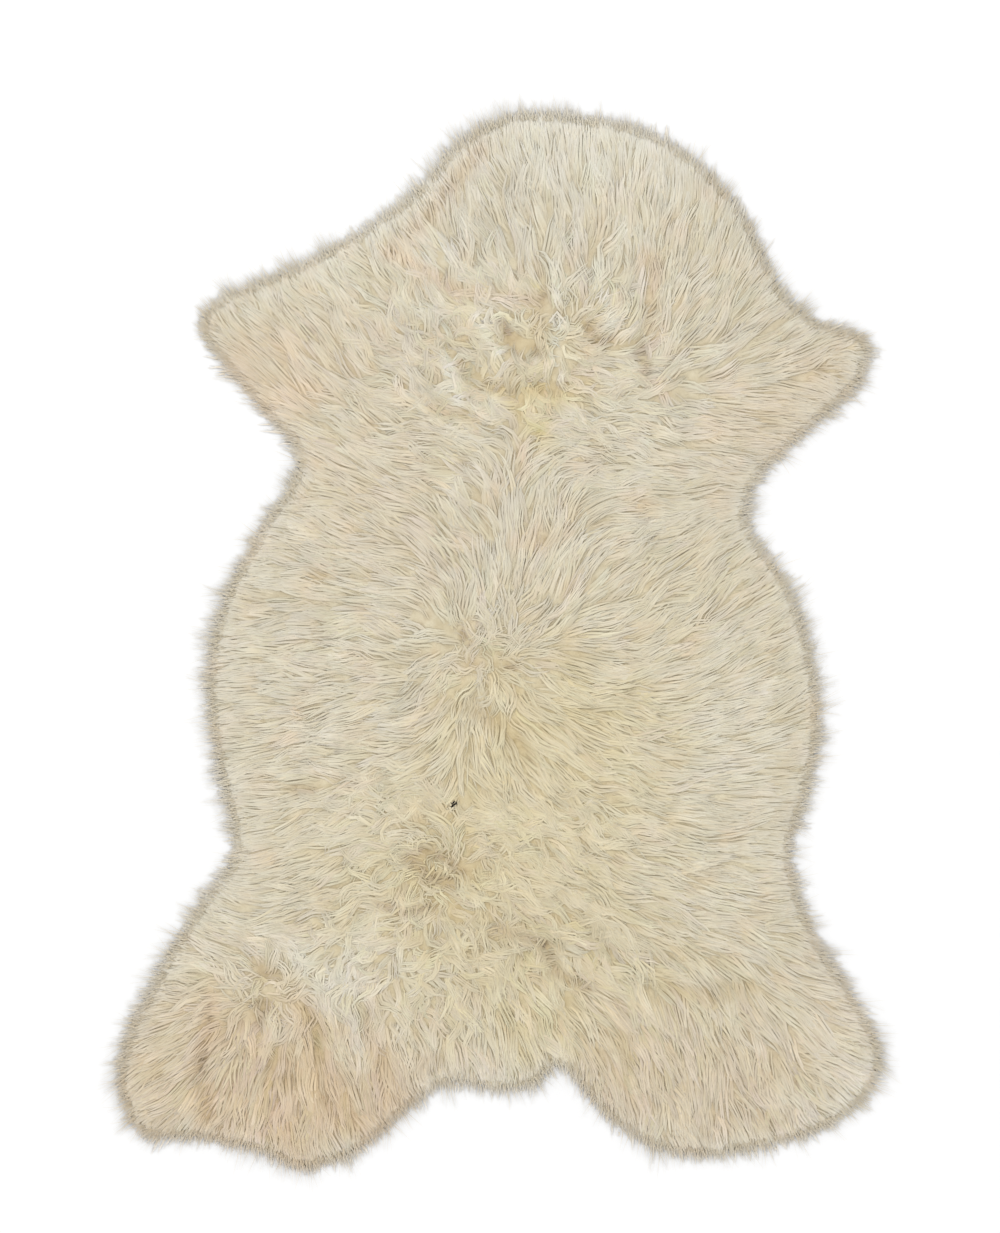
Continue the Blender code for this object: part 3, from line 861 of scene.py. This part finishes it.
def one_strand_each(plan, locks, draw):
    """One strand of each lock: its points, its thickness along it and its shade."""
    middle = strand_middles(locks, draw)
    count, along = len(middle), locks.along
    heights = plan.ground(middle)
    coarse = draw.uniform(0, 1, count) ** 1.5
    raised = locks.layer + draw.uniform(-0.3, 0.3, count) + 0.6 * (0.5 - coarse)
    raised = raised * (1 - 0.4 * locks.still)
    lift = profile("lift", along)[None, :] + raised[:, None] * along * (1.25 - along) * 2.2
    thick = FINEST_RADIUS + (COARSEST_RADIUS - FINEST_RADIUS) * coarse * (1 - 0.2 * locks.still)
    thick *= 1 - 0.5 * locks.rim - 0.2 * locks.curl
    radius = thick[:, None] * profile("thickness", along)
    outside = plan.read(plan.depth, middle) < UNDERCOAT_INSET
    level = heights + lift * MM
    level = np.where(outside, np.maximum(level, 1.2 * radius + 0.5 * MM), level)
    shade = locks.hue * (1 + draw.normal(0, 0.02, (count, 1)))
    return np.concatenate([middle, level[..., None]], axis=-1), radius, shade


def grow(plan, roots, curl, segments, draw):
    """The strands of the locks that grow at these roots."""
    locks = laid_locks(plan, roots, curl, segments, draw)
    grown = [one_strand_each(plan, locks, draw) for _ in range(STRANDS_A_LOCK)]
    points, radii, shades = (np.concatenate(parts) for parts in zip(*grown))
    tint = plan.tint(points[..., :2]) * shades[:, None]
    tint = plan.paled(tint, points[..., :2])
    return Strands(points, radii, tint.clip(0.02, 0.97))


def halo(plan, outline, draw):
    """Fine loose hairs that stand out around the rim and droop to the ground."""
    following = np.roll(outline, -1, axis=0) - outline
    outwards = np.stack([-following[:, 1], following[:, 0]], axis=1)
    outwards /= np.linalg.norm(outwards, axis=1)[:, None]
    chosen = draw.integers(0, len(outline), HALO_HAIRS)
    foot = outline[chosen] + following[chosen] * draw.uniform(0, 1, (HALO_HAIRS, 1))
    inner = foot - outwards[chosen] * draw.uniform(*HALO_ROOT, (HALO_HAIRS, 1))
    lie = plan.read(plan.flow, inner) + draw.normal(0, 0.25, (HALO_HAIRS, 2))
    lie /= np.linalg.norm(lie, axis=1)[:, None]
    reach = HALO_REACH[0] + (HALO_REACH[1] - HALO_REACH[0]) * draw.uniform(0, 1, HALO_HAIRS) ** 2
    reach *= (1 + 0.5 * ripples(inner, 24 * MM, SEED + 14) + 0.6 * strength(FLUFFY, inner)).clip(0.2, 2)
    tip = inner + lie * (plan.read(plan.depth, inner).clip(2 * MM) + reach)[:, None]
    middle = np.stack([inner, tip], axis=1)
    level = plan.ground(middle) + draw.uniform(0.8 * MM, 2.6 * MM, (HALO_HAIRS, 1)) * [1.3, 0.6]
    radii = HALO_RADIUS * draw.uniform(0.7, 1.3, (HALO_HAIRS, 1)) * np.array([1.0, 0.0])
    tint = plan.tint(inner) * (1 + draw.normal(0, 0.04, (HALO_HAIRS, 1)))
    tint = plan.paled(tint[:, None], middle)
    return Strands(np.concatenate([middle, level[..., None]], axis=-1), radii, tint.clip(0.02, 0.97))


def resampled(path, where):
    """Points on each path at these shares of its length."""
    segments = path.shape[1] - 1
    place = (where * segments).clip(0, segments - 1e-6)
    step = place.astype(int)
    share = (place - step)[..., None]
    rows = np.arange(len(path))[:, None]
    return path[rows, step] * (1 - share) + path[rows, step + 1] * share


def strand_rings(strands):
    """Three points around each strand's middle line at each knot but the last, then its tip.

    A strand is broad above and narrow below. The second array holds the points' normals, turned
    mostly up, as dense wool scatters light.
    """
    middle = strands.points
    ahead = np.gradient(middle, axis=1)
    ahead /= np.linalg.norm(ahead, axis=2, keepdims=True) + 1e-12
    side = np.cross(ahead, [0.0, 0.0, 1.0])
    side /= np.linalg.norm(side, axis=2, keepdims=True) + 1e-12
    over = np.cross(side, ahead)
    upwards = 0.5 * over + [0.0, 0.0, 0.5]
    rings, facing = [], []
    for angle in np.radians([30, -90, 150]):
        reach = side * math.cos(angle) * 1.25 + over * math.sin(angle) * 0.7
        rings.append(middle + reach * strands.radii[..., None])
        facing.append(reach + upwards * SCATTER)
    count = len(middle)
    rings = np.stack(rings, axis=2)[:, :-1].reshape(count, -1, 3)
    facing = np.stack(facing, axis=2)[:, :-1].reshape(count, -1, 3)
    rings = np.concatenate([rings, middle[:, -1:]], axis=1)
    facing = np.concatenate([facing, upwards[:, -1:]], axis=1)
    return rings, facing / (np.linalg.norm(facing, axis=2, keepdims=True) + 1e-12)


def strand_pattern(segments):
    """One strand's faces as numbers of points, with each corner's place in the strand's map cell."""
    faces, corners = [], []
    top = 0.12
    rise = (1 - top) / segments
    for ring in range(segments - 1):
        for side in range(3):
            after = (side + 1) % 3
            first, second = 3 * ring, 3 * ring + 3
            faces.append([first + side, first + after, second + after, second + side])
            low, high = top + rise * ring, top + rise * (ring + 1)
            left, right = side / 3, (side + 1) / 3
            corners.append([(left, low), (right, low), (right, high), (left, high)])
    last = 3 * (segments - 1)
    low = top + rise * (segments - 1)
    for side in range(3):
        faces.append([last + side, last + (side + 1) % 3, 3 * segments])
        corners.append([(side / 3, low), ((side + 1) / 3, low), ((side + 0.5) / 3, 1.0)])
    faces.append([0, 2, 1])
    corners.append([(0.0, 0.0), (1.0, 0.0), (0.5, top * 0.8)])
    return faces, corners


def cells_across(count):
    return math.ceil(math.sqrt(count))


def wool_mesh(name, groups):
    """One mesh of closed strands, with their colours, and a map that gives each its own cell."""
    total = sum(len(group.points) for group in groups)
    across = cells_across(total)
    places, normals, loops, sizes, maps, alongs, tints = [], [], [], [], [], [], []
    first_point, first_cell = 0, 0
    for group in groups:
        segments = group.points.shape[1] - 1
        faces, corners = strand_pattern(segments)
        rings, facing = strand_rings(group)
        count, each = len(rings), rings.shape[1]
        pattern = np.array([n for face in faces for n in face])
        local = np.array([c for face in corners for c in face])
        starts = first_point + np.arange(count) * each
        cells = first_cell + np.arange(count)
        origins = np.stack([cells % across, cells // across], axis=1)
        places.append(rings.reshape(-1, 3))
        normals.append(facing.reshape(-1, 3))
        loops.append((starts[:, None] + pattern).reshape(-1))
        sizes.append(np.tile([len(face) for face in faces], count))
        maps.append(((origins[:, None] + 0.05 + 0.9 * local) / across).reshape(-1, 2))
        knots = np.append(np.repeat(np.arange(segments) / segments, 3), 1.0)
        alongs.append(np.tile(knots, count))
        rising = np.repeat(group.tint[:, :-1], 3, axis=1)
        tints.append(np.concatenate([rising, group.tint[:, -1:]], axis=1).reshape(-1, 3))
        first_point += count * each
        first_cell += count
    mesh = bpy.data.meshes.new(name)
    fill_mesh(mesh, np.concatenate(places), np.concatenate(loops), np.concatenate(sizes))
    layer = mesh.uv_layers.new(name="OFBake")
    layer.data.foreach_set("uv", np.concatenate(maps).ravel().astype(np.float32))
    add_colours(mesh, np.concatenate(tints))
    share = mesh.attributes.new("along", "FLOAT", "POINT")
    share.data.foreach_set("value", np.concatenate(alongs).astype(np.float32))
    mesh.shade_smooth()
    mesh.normals_split_custom_set_from_vertices(np.concatenate(normals))
    return mesh


def fill_mesh(mesh, places, loops, sizes):
    mesh.vertices.add(len(places))
    mesh.vertices.foreach_set("co", places.ravel().astype(np.float32))
    mesh.loops.add(len(loops))
    mesh.loops.foreach_set("vertex_index", loops.astype(np.int32))
    mesh.polygons.add(len(sizes))
    starts = np.concatenate([[0], np.cumsum(sizes)[:-1]]).astype(np.int32)
    mesh.polygons.foreach_set("loop_start", starts)
    mesh.update(calc_edges=True)


def add_colours(mesh, colours):
    layer = mesh.attributes.new("tint", "FLOAT_COLOR", "POINT")
    full = np.concatenate([colours, np.ones((len(colours), 1))], axis=1)
    layer.data.foreach_set("color", full.ravel().astype(np.float32))


def grow_wool(plan, outline):
    """All the strands, in bands from the neck to the hind legs, as objects."""
    draw = np.random.default_rng(SEED)
    spread = lock_roots(plan, LOCK_SPACING, draw)
    rim = lock_roots(plan, RIM_SPACING, draw)
    rim = rim[plan.read(plan.depth, rim) < ROOT_MARGIN + RIM_WIDTH]
    fine = lock_roots(plan, CURL_SPACING, draw)
    calm = np.concatenate([spread[curliness(spread) <= LEAST_CURL], rim])
    wild = fine[curliness(fine) > LEAST_CURL]
    short = plan.read(plan.depth, calm) < ROOT_MARGIN + SHORT_WIDTH
    kinds = [
        grow(plan, calm[short], curliness(calm[short]), RIM_SEGMENTS, draw),
        grow(plan, calm[~short], curliness(calm[~short]), STRAIGHT_SEGMENTS, draw),
        grow(plan, wild, curliness(wild), CURLY_SEGMENTS, draw),
        halo(plan, outline, draw),
    ]
    heads = np.concatenate([kind.points[:, 0, 1] for kind in kinds])
    costs = np.concatenate([np.full(len(kind.points), kind.points.shape[1]) for kind in kinds])
    order = np.argsort(-heads, kind="stable")
    shares = np.cumsum(costs[order]) / costs.sum()
    numbers = np.empty(len(heads), int)
    numbers[order] = np.minimum((shares * len(BANDS)).astype(int), len(BANDS) - 1)
    bands = np.split(numbers, np.cumsum([len(kind.points) for kind in kinds])[:-1])
    made = []
    for number, name in enumerate(BANDS):
        groups = []
        for kind, band in zip(kinds, bands):
            chosen = band == number
            if chosen.any():
                groups.append(Strands(*(part[chosen] for part in kind)))
        total = sum(len(group.points) for group in groups)
        mesh = wool_mesh(name, groups)
        mesh.materials.append(wool_finish(cells_across(total)))
        piece = bpy.data.objects.new(name, mesh)
        bpy.context.scene.collection.objects.link(piece)
        made.append(piece)
    return made


# Hide and undercoat


def add_slab(name, loop, bottom, thickness):
    """A flat closed slab with this loop as its edge, in edit mode on a new circle."""
    bpy.ops.object.select_all(action="DESELECT")
    bpy.ops.mesh.primitive_circle_add(vertices=len(loop), radius=1, fill_type="NGON")
    piece = bpy.context.object
    piece.name = name
    for vertex, place in zip(piece.data.vertices, loop[::-1]):
        vertex.co = (*place, bottom)
    bpy.ops.object.mode_set(mode="EDIT")
    bpy.ops.mesh.select_all(action="SELECT")
    bpy.ops.mesh.quads_convert_to_tris(quad_method="BEAUTY", ngon_method="BEAUTY")
    bpy.ops.mesh.extrude_region_move(TRANSFORM_OT_translate={"value": (0, 0, thickness)})
    bpy.ops.mesh.select_all(action="SELECT")
    bpy.ops.mesh.normals_make_consistent(inside=False)
    bpy.ops.object.mode_set(mode="OBJECT")
    return piece


def apply_modifier(piece, kind, **settings):
    bpy.ops.object.select_all(action="DESELECT")
    piece.select_set(True)
    bpy.context.view_layer.objects.active = piece
    modifier = piece.modifiers.new(kind.lower(), kind)
    for name, value in settings.items():
        setattr(modifier, name, value)
    bpy.ops.object.modifier_apply(modifier=modifier.name)


def make_hide(outline):
    loop = inset_loop(outline, HIDE_INSET, 420)
    hide = add_slab("hide", loop, 0.0, HIDE_THICKNESS)
    apply_modifier(hide, "BEVEL", width=HIDE_BEVEL, segments=2, limit_method="ANGLE")
    hide.data.shade_smooth()
    hide.data.materials.append(hide_finish())
    return hide, loop


def make_undercoat(plan, outline):
    loop = inset_loop(outline, UNDERCOAT_INSET, 420)
    coat = add_slab("undercoat", loop, UNDERCOAT_BOTTOM, UNDERCOAT_SLAB)
    apply_modifier(coat, "REMESH", mode="VOXEL", voxel_size=UNDERCOAT_VOXEL, use_smooth_shade=True)
    points = np.empty(len(coat.data.vertices) * 3, np.float32)
    coat.data.vertices.foreach_get("co", points)
    points = points.reshape(-1, 3).astype(float)
    share = ((points[:, 2] - UNDERCOAT_BOTTOM) / UNDERCOAT_SLAB).clip(0, 1)
    top = plan.ground(points[:, :2])
    inner = plan.read(plan.depth, points[:, :2]) - UNDERCOAT_INSET
    inner = (inner / UNDERCOAT_UNDER_WIDTH).clip(0, 1)
    bottom = UNDERCOAT_RIM_BOTTOM + (UNDERCOAT_BOTTOM - UNDERCOAT_RIM_BOTTOM) * inner
    points[:, 2] = bottom + share * (top - bottom).clip(UNDERCOAT_THINNEST)
    coat.data.vertices.foreach_set("co", points.ravel().astype(np.float32))
    coat.data.update()
    colours = plan.tint(points[:, :2])
    colours += 0.3 * curliness(points[:, :2])[:, None] * (np.array(TAN_ROOTS) - colours)
    add_colours(coat.data, plan.paled(colours, points[:, :2]))
    coat.data.shade_smooth()
    coat.data.materials.append(undercoat_finish())
    return coat


def area_of(loop):
    x, y = loop.T
    return abs((x * np.roll(y, -1) - y * np.roll(x, -1)).sum()) / 2


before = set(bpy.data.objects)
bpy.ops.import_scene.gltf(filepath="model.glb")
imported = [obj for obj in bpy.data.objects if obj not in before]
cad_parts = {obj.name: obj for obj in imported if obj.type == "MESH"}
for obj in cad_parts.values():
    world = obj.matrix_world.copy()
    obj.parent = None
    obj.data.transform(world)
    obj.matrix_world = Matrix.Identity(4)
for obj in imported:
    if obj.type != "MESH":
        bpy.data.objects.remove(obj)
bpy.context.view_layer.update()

add_camera()
add_floor()
light_studio()

corners = np.array([point for stretch in OUTLINE.values() for point in stretch]) * MM
outline = evenly(smooth_loop(corners), 900)
plan = Plan(outline)

hide, hide_loop = make_hide(outline)
undercoat = make_undercoat(plan, outline)
wool = grow_wool(plan, outline)

for piece in [hide, undercoat, *wool]:
    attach(piece, "root")
for piece in [undercoat, *wool]:
    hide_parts("sheepskin")

size = hide_loop.max(axis=0) - hide_loop.min(axis=0)
float(area_of(hide_loop))
